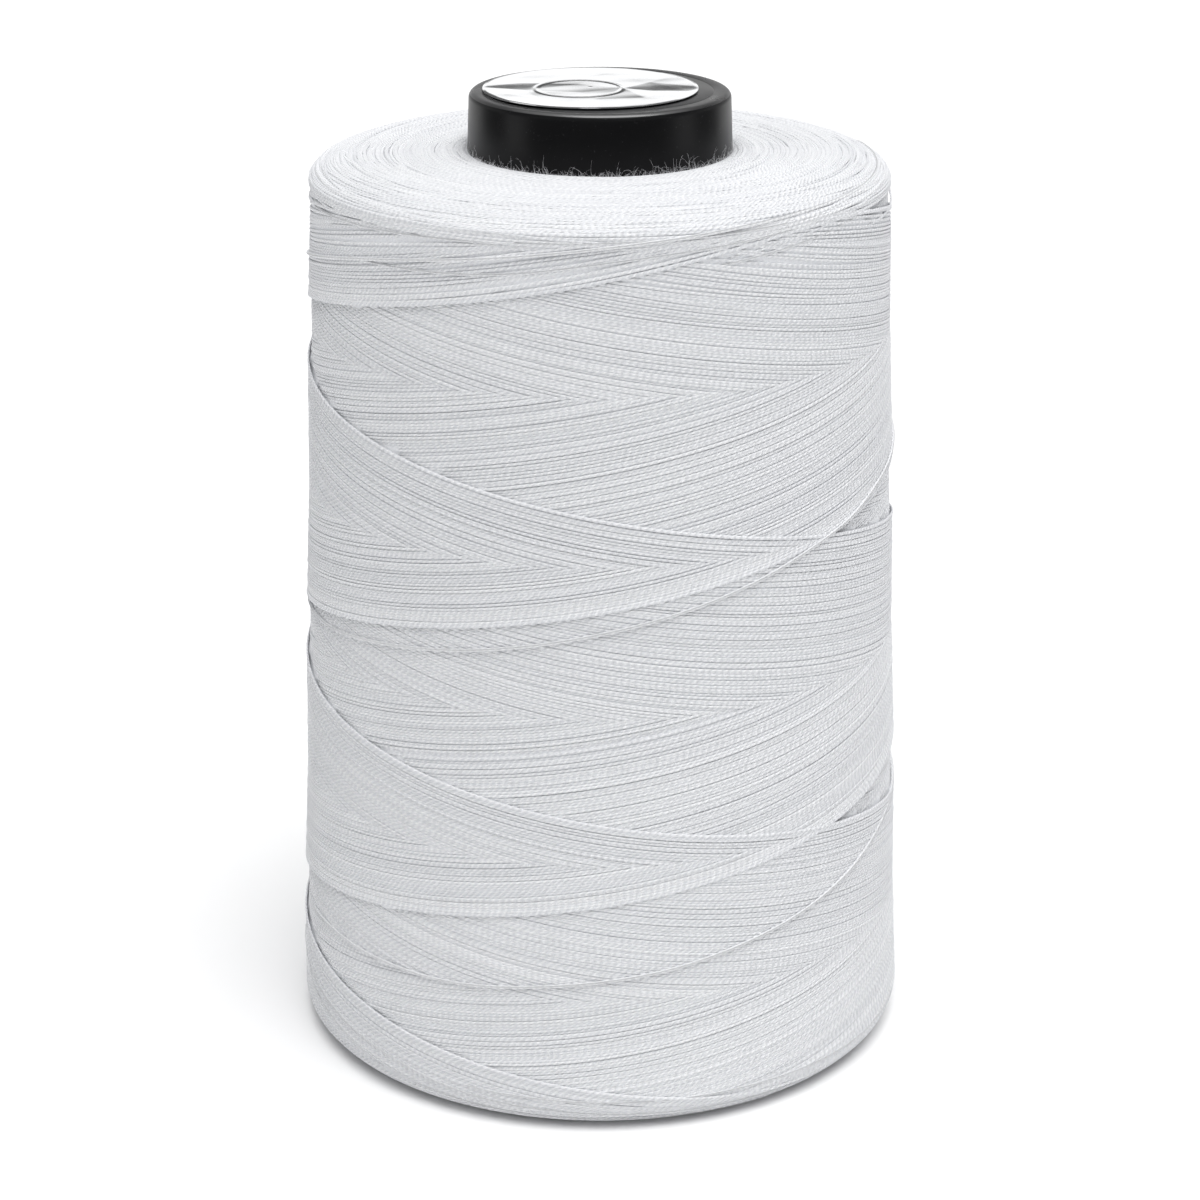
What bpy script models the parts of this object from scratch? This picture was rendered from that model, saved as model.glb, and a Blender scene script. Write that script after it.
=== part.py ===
"""A cone of sewing thread: cross-wound white thread on a tapered black core with a foil disc on top.

Metres, +Z up. The axis of the cone is Z and its foot is at z = 0, so the origin is the centre of the base.
"""
import math

import bpy
import numpy as np

# Whole cone: the core and the winding share one taper, and the foil disc ends level with the full height.
FULL_HEIGHT = 0.1680
TAPER = 0.036                 # radius gained for each metre of height going down
PIECE_GAP = 0.0003            # clearance between neighbouring pieces

# Foil disc, stuck a little off centre on the end of the core.
FOIL_RADIUS = 0.0181
FOIL_THICKNESS = 0.0003
FOIL_OFFSET_X = -0.0016
FOIL_SIDES = 64

# Core: a moulded tapered tube, open below, with an inward flange at its top end.
CORE_HEIGHT = FULL_HEIGHT - FOIL_THICKNESS - PIECE_GAP
CORE_TOP_RADIUS = 0.0220
CORE_WALL = 0.0018
CORE_RIM_ROUND = 0.0011
FLANGE_THICKNESS = 0.0018
FLANGE_BORE_RADIUS = 0.0140
RING_LINE_RADIUS = 0.0191     # fine moulded line round the end face
RING_LINE_DEPTH = 0.0002
RING_LINE_WIDTH = 0.0006
CORE_STEPS = 72

# Winding: straight tapered side, small round at the foot, broad soft shoulder, nearly flat end.
WOUND_HEIGHT = 0.1576
SHOULDER_DROP = 0.0039
SHOULDER_WIDTH = 0.0101
SHOULDER_RADIUS = 0.0490
END_FACE_DROP = 0.0003        # the end face falls this much from the core out to the shoulder
FOOT_ROUND_HEIGHT = 0.0056
FOOT_ROUND_WIDTH = 0.0054
WOUND_STEPS = 64
SIDE_ROWS = 40

# Cross winding: the guide lays three turns up and three turns down, and each double stroke lands one
# thread further round. The newest threads stand highest, and the surface sinks with age to the oldest.
TURNS_PER_STROKE = 3
TOP_REVERSAL = 0.1540
NEWEST_TURN_PHASE = 0.285     # half turns between the front and the newest thread at the top reversal
BAND_DEPTH = 0.0007           # two thread thicknesses, lost from newest to oldest
BAND_EDGE_ANGLE = 0.6         # radians over which the step at the newest thread falls away

FRONT_AZIMUTH = -math.pi / 2
FULL_TURN = 2 * math.pi


def arc(centre_r, centre_z, width, height, start, end, count):
    """Points (radius, height) along an elliptic arc, from angle start to angle end."""
    points = []
    for step in range(count + 1):
        angle = start + (end - start) * step / count
        points.append((centre_r + width * math.cos(angle), centre_z + height * math.sin(angle)))
    return points


def core_radius(z):
    """Outer radius of the core at height z."""
    return CORE_TOP_RADIUS + TAPER * (CORE_HEIGHT - z)


def wound_radius(z):
    """Radius of the winding's straight side at height z."""
    return SHOULDER_RADIUS + TAPER * (WOUND_HEIGHT - SHOULDER_DROP - END_FACE_DROP - z)


def newest_first(angle):
    """Share of BAND_DEPTH at an age angle: rises with age, and falls steeply back at the newest thread."""
    age = angle % FULL_TURN
    return min(age / FULL_TURN, (FULL_TURN - age) / BAND_EDGE_ANGLE)


def band_relief(x, y, z):
    """Depth of the wound surface below its newest thread, at a point on its side."""
    azimuth = math.atan2(y, x) - FRONT_AZIMUTH
    half_turns_down = 2 * TURNS_PER_STROKE * (TOP_REVERSAL - z) / TOP_REVERSAL
    rising_age = math.pi * (NEWEST_TURN_PHASE - half_turns_down) - azimuth
    falling_age = math.pi * (NEWEST_TURN_PHASE + half_turns_down) - azimuth
    return BAND_DEPTH * min(newest_first(rising_age), newest_first(falling_age))


def make_material(name, colour, roughness, metallic=0.0):
    """A Principled material of one colour."""
    material = bpy.data.materials.new(name)
    material.use_nodes = True
    shader = material.node_tree.nodes["Principled BSDF"]
    shader.inputs["Base Color"].default_value = (*colour, 1.0)
    shader.inputs["Roughness"].default_value = roughness
    shader.inputs["Metallic"].default_value = metallic
    return material


def turn(name, profile, steps, collection, material):
    """A closed profile in the XZ plane, turned once round Z with a Screw modifier."""
    count = len(profile)
    mesh = bpy.data.meshes.new(name)
    vertices = [(radius, 0.0, z) for radius, z in profile]
    edges = [(index, (index + 1) % count) for index in range(count)]
    mesh.from_pydata(vertices, edges, [])
    obj = bpy.data.objects.new(name, mesh)
    collection.objects.link(obj)
    screw = obj.modifiers.new("Turn", "SCREW")
    screw.axis = "Z"
    screw.angle = FULL_TURN
    screw.steps = steps
    screw.render_steps = steps
    screw.use_merge_vertices = True
    screw.merge_threshold = 0.00001
    screw.use_smooth_shade = True
    mesh.materials.append(material)
    return obj


def core_profile():
    """Round the tube's wall: end face, outer side, foot, and back up the inside to the flange."""
    top = CORE_HEIGHT
    groove = RING_LINE_WIDTH / 2
    under_flange = top - FLANGE_THICKNESS
    profile = [
        (FLANGE_BORE_RADIUS, top),
        (RING_LINE_RADIUS - groove, top),
        (RING_LINE_RADIUS, top - RING_LINE_DEPTH),
        (RING_LINE_RADIUS + groove, top),
    ]
    rim_radius = core_radius(top - CORE_RIM_ROUND)
    profile += arc(rim_radius - CORE_RIM_ROUND, top - CORE_RIM_ROUND,
                   CORE_RIM_ROUND, CORE_RIM_ROUND, math.pi / 2, 0.0, 5)
    profile += [
        (core_radius(0.0), 0.0),
        (core_radius(0.0) - CORE_WALL, 0.0),
        (core_radius(under_flange) - CORE_WALL, under_flange),
        (FLANGE_BORE_RADIUS, under_flange),
    ]
    return profile


def wound_profile():
    """Round the winding: end face, shoulder, tapered side, foot round, base, and up along the core."""
    end_z = WOUND_HEIGHT - END_FACE_DROP
    shoulder_z = end_z - SHOULDER_DROP
    bore_top = core_radius(WOUND_HEIGHT) + PIECE_GAP
    bore_foot = core_radius(0.0) + PIECE_GAP
    foot_radius = wound_radius(FOOT_ROUND_HEIGHT)
    profile = [(bore_top, WOUND_HEIGHT)]
    profile += arc(SHOULDER_RADIUS - SHOULDER_WIDTH, shoulder_z,
                   SHOULDER_WIDTH, SHOULDER_DROP, math.pi / 2, 0.0, 7)
    for row in range(1, SIDE_ROWS):
        z = shoulder_z + (FOOT_ROUND_HEIGHT - shoulder_z) * row / SIDE_ROWS
        profile.append((wound_radius(z), z))
    profile += arc(foot_radius - FOOT_ROUND_WIDTH, FOOT_ROUND_HEIGHT,
                   FOOT_ROUND_WIDTH, FOOT_ROUND_HEIGHT, 0.0, -math.pi / 2, 5)
    profile.append((bore_foot, 0.0))
    return profile


def lay_bands(obj):
    """Turn the Screw result into a mesh and sink its side by the relief of the wound bands."""
    depsgraph = bpy.context.evaluated_depsgraph_get()
    mesh = bpy.data.meshes.new_from_object(obj.evaluated_get(depsgraph))
    obj.modifiers.clear()
    obj.data = mesh
    points = np.empty(len(mesh.vertices) * 3)
    mesh.vertices.foreach_get("co", points)
    points = points.reshape(-1, 3)
    shoulder_z = WOUND_HEIGHT - END_FACE_DROP - SHOULDER_DROP
    for point in points:
        x, y, z = point
        radius = math.hypot(x, y)
        on_side = FOOT_ROUND_HEIGHT / 2 < z <= shoulder_z + 1e-6 and radius > SHOULDER_RADIUS - SHOULDER_WIDTH
        if on_side:
            scale = (radius - band_relief(x, y, z)) / radius
            point[0] = x * scale
            point[1] = y * scale
    mesh.vertices.foreach_set("co", points.ravel())
    mesh.update()


def build_wound_thread(collection):
    material = make_material("White thread", (0.86, 0.87, 0.88), 0.75)
    obj = turn("wound_thread", wound_profile(), WOUND_STEPS, collection, material)
    bpy.context.view_layer.update()
    lay_bands(obj)
    return obj


def build_core_tube(collection):
    material = make_material("Black plastic", (0.012, 0.012, 0.013), 0.32)
    return turn("core_tube", core_profile(), CORE_STEPS, collection, material)


def build_foil_disc(collection):
    centre_z = FULL_HEIGHT - FOIL_THICKNESS / 2
    bpy.ops.mesh.primitive_cylinder_add(vertices=FOIL_SIDES, radius=FOIL_RADIUS, depth=FOIL_THICKNESS,
                                        location=(FOIL_OFFSET_X, 0.0, centre_z))
    obj = bpy.context.object
    obj.name = "foil_disc"
    obj.data.name = "foil_disc"
    obj.data.materials.append(make_material("Silver foil", (0.78, 0.79, 0.80), 0.18, 1.0))
    obj.data.shade_smooth()
    obj.data.set_sharp_from_angle(angle=math.radians(40))
    for owner in list(obj.users_collection):
        owner.objects.unlink(obj)
    collection.objects.link(obj)
    return obj


def main():
    for obj in list(bpy.data.objects):
        bpy.data.objects.remove(obj, do_unlink=True)
    collection = bpy.data.collections.new("thread_cone")
    bpy.context.scene.collection.children.link(collection)
    build_wound_thread(collection)
    build_core_tube(collection)
    build_foil_disc(collection)


main()
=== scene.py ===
import math

import bpy
import numpy as np
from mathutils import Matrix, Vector
from mathutils.geometry import delaunay_2d_cdt


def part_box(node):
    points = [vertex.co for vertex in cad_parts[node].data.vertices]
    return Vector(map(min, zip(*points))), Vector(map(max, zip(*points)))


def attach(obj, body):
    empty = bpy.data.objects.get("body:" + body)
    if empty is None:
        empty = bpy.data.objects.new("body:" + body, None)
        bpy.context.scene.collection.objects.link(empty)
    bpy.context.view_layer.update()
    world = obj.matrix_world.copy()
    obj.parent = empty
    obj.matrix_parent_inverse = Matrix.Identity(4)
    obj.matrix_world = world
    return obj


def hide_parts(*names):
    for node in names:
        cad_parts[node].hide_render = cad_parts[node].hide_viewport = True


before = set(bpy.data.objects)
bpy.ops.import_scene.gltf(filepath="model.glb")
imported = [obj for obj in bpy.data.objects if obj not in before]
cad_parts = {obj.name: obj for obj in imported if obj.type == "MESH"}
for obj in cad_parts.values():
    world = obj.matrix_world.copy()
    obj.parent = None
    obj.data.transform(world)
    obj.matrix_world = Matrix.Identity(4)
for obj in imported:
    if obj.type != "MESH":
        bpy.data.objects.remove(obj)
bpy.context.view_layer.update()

FULL_TURN = 2 * math.pi
MM = 0.001
SEED = 20                          # each piece adds its own number to this one

# Camera: level from side to side, looking down a little on the cone.
CAMERA_PLACE = (0.0, -0.516, 0.2654)
CAMERA_TILT = 20.12                # degrees down
CAMERA_LENS = 92.83                # millimetres, on a sensor 36 mm wide

# Outline of the winding, from the CAD boxes and the rounding that part.py gives its foot and shoulder.
_, WOUND_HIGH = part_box("wound_thread")
_, CORE_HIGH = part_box("core_tube")
FOIL_LOW, FOIL_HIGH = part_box("foil_disc")
TAPER = 0.036                      # radius gained for each metre of height going down
SHOULDER_DROP = 3.9 * MM
SHOULDER_WIDTH = 10.1 * MM
END_FACE_DROP = 0.3 * MM
FOOT_ROUND_HEIGHT = 5.6 * MM
FOOT_ROUND_WIDTH = 5.4 * MM
SIDE_RELIEF = 0.07 * MM            # how far the CAD side's widest corner lies inside the newest threads
SHOULDER_Z = WOUND_HIGH.z - END_FACE_DROP - SHOULDER_DROP
FOOT_RADIUS = WOUND_HIGH.x + SIDE_RELIEF
SHOULDER_RADIUS = FOOT_RADIUS - TAPER * (SHOULDER_Z - FOOT_ROUND_HEIGHT)

# Cross winding: three turns up and three turns down for each stroke of the guide.
TURNS_PER_STROKE = 3
BANDS = 2 * TURNS_PER_STROKE
THREADS = 104                      # strokes side by side round the cone
CROSSING_HEIGHTS = (154.0, 128.1, 100.3, 74.3, 48.7, 24.2, 0.0)   # millimetres, from the top reversal down
NEWEST_PHASE = 0.285               # half turns from the front to the newest thread at the top reversal
FRONT_STEEPENING = 0.1             # radians that the turns run ahead beside the front
REVERSAL_ROUND = 0.12              # half turns over which a thread turns back at the end of its stroke
BAND_DEPTH = 0.7 * MM              # sinking of the surface from the newest threads to the oldest
RISING = -1                        # way round the cone, going down a rising thread
FALLING = 1                        # the same for a falling thread
HALF_TURN_LENGTH = math.pi * (SHOULDER_RADIUS + FOOT_RADIUS) / 2

# One thread as a low round-topped strip.
STRIP_ANGLES = np.radians((-100, -50, 0, 50, 100))
TUBE_ANGLES = np.radians(np.arange(0, 360, 45))
THREAD_WIDTH = 0.57 * MM
THREAD_RISE = 0.25 * MM
SEGMENT = 3.6 * MM                 # longest step along a side thread
DIVE_LENGTH = 3.2 * MM             # a thread's hidden end, where it goes under the threads laid after it
DIVE_DEPTH = 0.34 * MM
DIVE_EARLY = 0.5 * MM              # how far before the newer threads it starts to go down
UNDERLAY_DEPTH = 0.29 * MM

# How much one thread differs from the next.
WANDER = 0.055 * MM                # up and down the cone, changing along the thread
SHARED_WANDER = 0.03 * MM          # the same all along it
UNEVEN_LIFT = 0.025 * MM
PROUD_CHANCE = 0.05
PROUD_RISE = 0.07 * MM
PROUD_OR_SUNK_CHANCE = 0.11
SUNK_DROP = 0.09 * MM
THICKNESS_SPREAD = 0.05

# The threads run past the top reversal by an uneven amount (millimetres), and the newest ones stand proud.
OVERSHOOT = 1.8
OVERSHOOT_WAVE = 0.9
OVERSHOOT_WAVE_STEP = 0.6          # radians from one thread to the next
OVERSHOOT_SPREAD = 0.35
OVERSHOOT_REACH = 0.3              # half turns
NEWEST_COUNT = 2
NEWEST_LIFT = 0.1 * MM
NEWEST_SWELL = 0.15
SHORTEST_STRETCH = 0.01            # half turns


# -------- outline of the winding

def core_radius(z):
    """Outer radius of the core at height z."""
    return CORE_HIGH.x - TAPER * z


def elliptic_arc(centre_r, centre_z, width, height, start, end, count):
    """Arrays of radius and height along a quarter of an ellipse."""
    angle = np.linspace(start, end, count)
    return centre_r + width * np.cos(angle), centre_z + height * np.sin(angle)


def winding_outline():
    """Distance, radius and height along the outline, from the core's foot round to the core's collar.

    On the straight side the distance is the height itself. It runs on below the side round the foot to
    the base, and above it over the shoulder to the end face.
    """
    foot_r, foot_z = elliptic_arc(FOOT_RADIUS - FOOT_ROUND_WIDTH, FOOT_ROUND_HEIGHT,
                                  FOOT_ROUND_WIDTH, FOOT_ROUND_HEIGHT, -math.pi / 2, 0, 24)
    top_r, top_z = elliptic_arc(SHOULDER_RADIUS - SHOULDER_WIDTH, SHOULDER_Z,
                                SHOULDER_WIDTH, SHOULDER_DROP, 0, math.pi / 2, 32)
    radius = np.concatenate(([core_radius(0)], foot_r, top_r, [core_radius(WOUND_HIGH.z)]))
    height = np.concatenate(([0.0], foot_z, top_z, [WOUND_HIGH.z]))
    distance = np.concatenate(([0.0], np.cumsum(np.hypot(np.diff(radius), np.diff(height)))))
    foot_end = len(foot_r)
    distance[:foot_end + 1] += FOOT_ROUND_HEIGHT - distance[foot_end]
    distance[foot_end + 1:] += SHOULDER_Z - distance[foot_end + 1]
    return distance, radius, height


OUTLINE_T, OUTLINE_R, OUTLINE_Z = winding_outline()
BASE_T = OUTLINE_T[0]
COLLAR_T = OUTLINE_T[-1]


def outline_at(t):
    """Radius, height, and the outward normal's two parts, at distances t along the outline."""
    radius = np.interp(t, OUTLINE_T, OUTLINE_R)
    height = np.interp(t, OUTLINE_T, OUTLINE_Z)
    reach = 0.4 * MM
    along_r = np.interp(t + reach, OUTLINE_T, OUTLINE_R) - np.interp(t - reach, OUTLINE_T, OUTLINE_R)
    along_z = np.interp(t + reach, OUTLINE_T, OUTLINE_Z) - np.interp(t - reach, OUTLINE_T, OUTLINE_Z)
    length = np.hypot(along_r, along_z)
    return radius, height, along_z / length, -along_r / length


def on_winding(azimuth, t, lift):
    """Points above the winding's outline by lift, and the outward normals there."""
    radius, height, normal_r, normal_z = outline_at(t)
    outward = np.stack((np.sin(azimuth), -np.cos(azimuth)), axis=-1)
    normals = np.concatenate((outward * normal_r[..., None], normal_z[..., None]), axis=-1)
    points = np.concatenate((outward * radius[..., None], height[..., None]), axis=-1)
    return points + normals * lift[..., None], normals


# -------- winding law

def smooth_curve(x, knots_x, knots_y):
    """A smooth curve through a few knots, with each knot's slope taken from its neighbours."""
    knots_x = np.asarray(knots_x, float)
    knots_y = np.asarray(knots_y, float)
    slopes = np.gradient(knots_y, knots_x)
    index = np.clip(np.searchsorted(knots_x, x) - 1, 0, len(knots_x) - 2)
    span = knots_x[index + 1] - knots_x[index]
    s = (x - knots_x[index]) / span
    rise = knots_y[index + 1] - knots_y[index]
    start_pull = slopes[index] * span - rise
    end_pull = rise - slopes[index + 1] * span
    return knots_y[index] + s * rise + s * (1 - s) * ((1 - s) * start_pull + s * end_pull)


def smooth_step(x):
    """Eases from 0 to 1 as x goes from 0 to 1, and stays there outside."""
    x = np.clip(x, 0, 1)
    return x * x * (3 - 2 * x)


def stroke_height(u):
    """Height of a thread u half turns below the top reversal; it rounds off at both reversals."""
    top_rounded = np.sqrt(u * u + REVERSAL_ROUND ** 2)
    left = BANDS - top_rounded
    rounded = BANDS - np.sqrt(left * left + REVERSAL_ROUND ** 2)
    return MM * smooth_curve(rounded, range(BANDS + 1), CROSSING_HEIGHTS)


def half_turns_at(z):
    """Half turns below the top reversal at height z on the side."""
    return np.interp(-z / MM, -np.array(CROSSING_HEIGHTS), range(BANDS + 1))


def azimuth_of_phase(phase):
    """Azimuth where the winding has reached a phase: the turns run a little ahead beside the front."""
    azimuth = phase
    corrections = 3
    for _ in range(corrections):
        azimuth = phase - FRONT_STEEPENING * np.sin(azimuth)
    return azimuth


def surface_age(azimuth, z):
    """Age angle of the thread that shows at a place on the side: 0 newest, a full turn oldest."""
    phase = azimuth + FRONT_STEEPENING * np.sin(azimuth)
    u = half_turns_at(z)
    rising = (math.pi * (NEWEST_PHASE - u) - phase) % FULL_TURN
    falling = (math.pi * (NEWEST_PHASE + u) - phase) % FULL_TURN
    return np.minimum(rising, falling)


def surface_sink(azimuth, z):
    """How far the wound surface lies below its newest threads."""
    return BAND_DEPTH * surface_age(azimuth, z) / FULL_TURN


# -------- strands as meshes

class Strands:
    """Collects threads, each swept along its path with one section, and joins them into one mesh."""

    def __init__(self):
        self.points = []
        self.faces = []
        self.along = []
        self.across = []
        self.shade = []
        self.turn = []
        self.level = []
        self.count = 0

    def add(self, azimuth, t, lift, width, rise, shade, angles=STRIP_ANGLES):
        """One thread along arrays of azimuth, outline distance and lift of its crest."""
        rows, sides = len(azimuth), len(angles)
        width = np.broadcast_to(width, rows)
        rise = np.broadcast_to(rise, rows)
        middle, normals = on_winding(azimuth, t, lift - rise)
        path = np.gradient(middle, axis=0)
        path /= np.linalg.norm(path, axis=1)[:, None]
        sideways = np.cross(path, normals)
        half_width = (width / 2)[:, None, None] * np.sin(angles)[None, :, None]
        height = rise[:, None, None] * np.cos(angles)[None, :, None]
        points = middle[:, None, :] + sideways[:, None, :] * half_width + normals[:, None, :] * height
        steps = np.linalg.norm(np.diff(middle, axis=0), axis=1)
        along = np.concatenate(([0.0], np.cumsum(steps)))
        self.points.append(points.reshape(-1, 3))
        self.along.append(np.repeat(along, sides))
        self.across.append(np.tile(angles / math.pi, rows))
        self.shade.append(np.full(rows * sides, shade))
        self.turn.append(np.repeat(azimuth / FULL_TURN, sides))
        self.level.append(np.repeat(t, sides) + (half_width[..., 0]).ravel())
        self._add_faces(rows, sides)

    def _add_faces(self, rows, sides):
        row = np.arange(rows - 1)[:, None] * sides
        side = np.arange(sides)[None, :]
        after = (side + 1) % sides
        quads = np.stack((row + side, row + after, row + after + sides, row + side + sides), axis=-1)
        self.faces += (quads.reshape(-1, 4) + self.count).tolist()
        ring = list(range(self.count, self.count + sides))
        last = (rows - 1) * sides
        self.faces.append(ring[::-1])
        self.faces.append([index + last for index in ring])
        self.count += rows * sides

    def build(self, name, material):
        """The joined mesh as an object, with the attributes that the thread's material reads."""
        mesh = bpy.data.meshes.new(name)
        mesh.from_pydata(np.concatenate(self.points), [], self.faces)
        for label, values in (("along", self.along), ("across", self.across), ("shade", self.shade)):
            layer = mesh.attributes.new(label, "FLOAT", "POINT")
            layer.data.foreach_set("value", np.concatenate(values).astype(np.float32))
        add_round_map(mesh, np.concatenate(self.turn), np.concatenate(self.level))
        return finish_piece(name, mesh, material)


def add_round_map(mesh, turn, level):
    """An unwrapped map: once round the cone across it, and the outline up it. No face crosses the seam."""
    corner_vertex = np.empty(len(mesh.loops), np.int32)
    mesh.loops.foreach_get("vertex_index", corner_vertex)
    starts = np.empty(len(mesh.polygons), np.int32)
    mesh.polygons.foreach_get("loop_start", starts)
    sizes = np.diff(np.append(starts, len(corner_vertex)))
    across = turn[corner_vertex]
    across = across - np.repeat(np.floor(np.minimum.reduceat(across, starts)), sizes)
    up = (level - level.min()) / max(np.ptp(level), 1e-9)
    room_past_seam = 1.1
    margin = 0.01
    corners = np.stack((across / room_past_seam, margin + (1 - 2 * margin) * up[corner_vertex]), axis=-1)
    uv = mesh.uv_layers.new(name="OFBake")
    uv.data.foreach_set("uv", corners.astype(np.float32).ravel())


def finish_piece(name, mesh, material):
    """Smooth-shaded object of a mesh, riding on the cone's one body."""
    mesh.materials.append(material)
    mesh.shade_smooth()
    piece = bpy.data.objects.new(name, mesh)
    bpy.context.scene.collection.objects.link(piece)
    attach(piece, "root")
    return piece


def grid_faces(rows, columns):
    """Quads of a grid whose columns close on themselves, row after row."""
    row = np.arange(rows - 1)[:, None] * columns
    column = np.arange(columns)[None, :]
    after = (column + 1) % columns
    quads = np.stack((row + column, row + after, row + after + columns, row + column + columns), axis=-1)
    return quads.reshape(-1, 4).tolist()


def closing_faces(rows, columns):
    """Quads that join such a grid's last row to its first."""
    last = (rows - 1) * columns
    return [[column + last, (column + 1) % columns + last, (column + 1) % columns, column]
            for column in range(columns)]


# -------- node helpers

def new_material(name, colour, roughness, metallic=0.0, specular=0.5):
    """A node material with its plain values on the shader's own sockets."""
    material = bpy.data.materials.new(name)
    material.use_nodes = True
    shader = material.node_tree.nodes["Principled BSDF"]
    shader.inputs["Base Color"].default_value = (*colour, 1.0)
    shader.inputs["Roughness"].default_value = roughness
    shader.inputs["Metallic"].default_value = metallic
    shader.inputs["Specular IOR Level"].default_value = specular
    return material, material.node_tree, shader


def maths(tree, operation, first, second=0.0):
    """Output of a Math node; each input is a number or another node's output."""
    step = tree.nodes.new("ShaderNodeMath")
    step.operation = operation
    for socket, value in zip(step.inputs, (first, second)):
        if isinstance(value, bpy.types.NodeSocket):
            tree.links.new(value, socket)
        else:
            socket.default_value = value
    return step.outputs[0]


def attribute(tree, name):
    """A number that the mesh carries at each point."""
    reader = tree.nodes.new("ShaderNodeAttribute")
    reader.attribute_name = name
    return reader.outputs["Fac"]


def vector_of(tree, x, y, z):
    """A vector from three numbers or node outputs."""
    combine = tree.nodes.new("ShaderNodeCombineXYZ")
    for socket, value in zip(combine.inputs, (x, y, z)):
        if isinstance(value, bpy.types.NodeSocket):
            tree.links.new(value, socket)
        else:
            socket.default_value = value
    return combine.outputs[0]


def noise(tree, vector, scale, detail=2.0, roughness=0.5):
    """Output, from 0 to 1, of a Noise texture."""
    texture = tree.nodes.new("ShaderNodeTexNoise")
    texture.inputs["Scale"].default_value = scale
    texture.inputs["Detail"].default_value = detail
    texture.inputs["Roughness"].default_value = roughness
    tree.links.new(vector, texture.inputs["Vector"])
    return texture.outputs["Fac"]


def object_place(tree):
    """Place on the piece in metres."""
    return tree.nodes.new("ShaderNodeTexCoord").outputs["Object"]


def ramp(tree, value, stops):
    """Colour ramp through (position, colour) stops."""
    made = tree.nodes.new("ShaderNodeValToRGB")
    elements = made.color_ramp.elements
    while len(elements) < len(stops):
        elements.new(0.5)
    for element, (position, colour) in zip(elements, stops):
        element.position = position
        element.color = (*colour, 1.0)
    tree.links.new(value, made.inputs["Fac"])
    return made.outputs["Color"]


def map_range(tree, value, low, high):
    """A value from 0 to 1 spread from low to high."""
    return maths(tree, "ADD", maths(tree, "MULTIPLY", value, high - low), low)


def add_bump(tree, shader, height, distance, strength=1.0):
    """Bumps the shader's surface by a height from 0 to 1 times a distance."""
    bump = tree.nodes.new("ShaderNodeBump")
    bump.inputs["Distance"].default_value = distance
    bump.inputs["Strength"].default_value = strength
    tree.links.new(height, bump.inputs["Height"])
    tree.links.new(bump.outputs["Normal"], shader.inputs["Normal"])


# -------- materials

def thread_material():
    """Spun white thread: two plies twisted together, with fibres along it and small changes of tone. The
    colour is lighter on the twist's crests and darker in its grooves: painted highlight and painted shade.

    Each thread has its own shade number, which also moves its patterns so that no two threads match.
    """
    ply_length = 1.15 * MM
    ply_slant = 5.0
    fibres_along, fibres_across = 900.0, 9.0
    slubs_along = 90.0
    twist_shift, fibre_shift, slub_shift = 40.0, 60.0, 90.0
    dark, light = (0.74, 0.75, 0.78), (0.93, 0.935, 0.95)
    material, tree, shader = new_material("spun_thread", (0.86, 0.87, 0.89), 0.7, specular=0.35)
    along = attribute(tree, "along")
    across = attribute(tree, "across")
    shade = attribute(tree, "shade")
    twist = maths(tree, "MULTIPLY", along, FULL_TURN / ply_length)
    slanted = maths(tree, "ADD", twist, maths(tree, "MULTIPLY", across, ply_slant))
    started = maths(tree, "ADD", slanted, maths(tree, "MULTIPLY", shade, twist_shift))
    ply = maths(tree, "ADD", maths(tree, "MULTIPLY", maths(tree, "SINE", started), 0.5), 0.5)
    place = vector_of(tree, maths(tree, "MULTIPLY", along, fibres_along),
                      maths(tree, "MULTIPLY", across, fibres_across),
                      maths(tree, "MULTIPLY", shade, fibre_shift))
    fibres = noise(tree, place, 1.0, detail=3.0)
    slub_place = vector_of(tree, maths(tree, "MULTIPLY", along, slubs_along), 0.0,
                           maths(tree, "MULTIPLY", shade, slub_shift))
    slubs = noise(tree, slub_place, 1.0)
    height = maths(tree, "ADD", maths(tree, "MULTIPLY", ply, 0.65), maths(tree, "MULTIPLY", fibres, 0.5))
    add_bump(tree, shader, height, 0.24 * MM)
    # The ply wave makes the colour lighter on the twist's crests and darker in its grooves: painted highlight
    # and painted shade. Slubs and each thread's own number change the tone at random.
    tone_with_painted_ply_shade = maths(tree, "ADD", maths(tree, "MULTIPLY", slubs, 0.35), maths(tree, "MULTIPLY", ply, 0.5))
    tone_with_painted_ply_shade = maths(tree, "ADD", tone_with_painted_ply_shade, maths(tree, "MULTIPLY", shade, 0.3))
    tree.links.new(ramp(tree, tone_with_painted_ply_shade, ((0.15, dark), (0.95, light))), shader.inputs["Base Color"])
    tree.links.new(map_range(tree, fibres, 0.6, 0.85), shader.inputs["Roughness"])
    return material


def underlay_material():
    """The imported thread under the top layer, seen only in the gaps between threads."""
    dark, light = (0.78, 0.79, 0.82), (0.88, 0.89, 0.91)
    fibre_grain = 3000.0
    material, tree, shader = new_material("packed_thread", dark, 0.85, specular=0.2)
    grain = noise(tree, object_place(tree), fibre_grain, detail=2.0)
    tree.links.new(ramp(tree, grain, ((0.3, dark), (0.7, light))), shader.inputs["Base Color"])
    add_bump(tree, shader, grain, 0.1 * MM)
    return material


def hair_material():
    """Loose polyester fibres: thin, pale and slightly glossy."""
    material, tree, shader = new_material("loose_fibre", (0.9, 0.9, 0.92), 0.5, specular=0.4)
    uneven = noise(tree, object_place(tree), 1500.0)
    tree.links.new(map_range(tree, uneven, 0.4, 0.65), shader.inputs["Roughness"])
    return material


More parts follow.
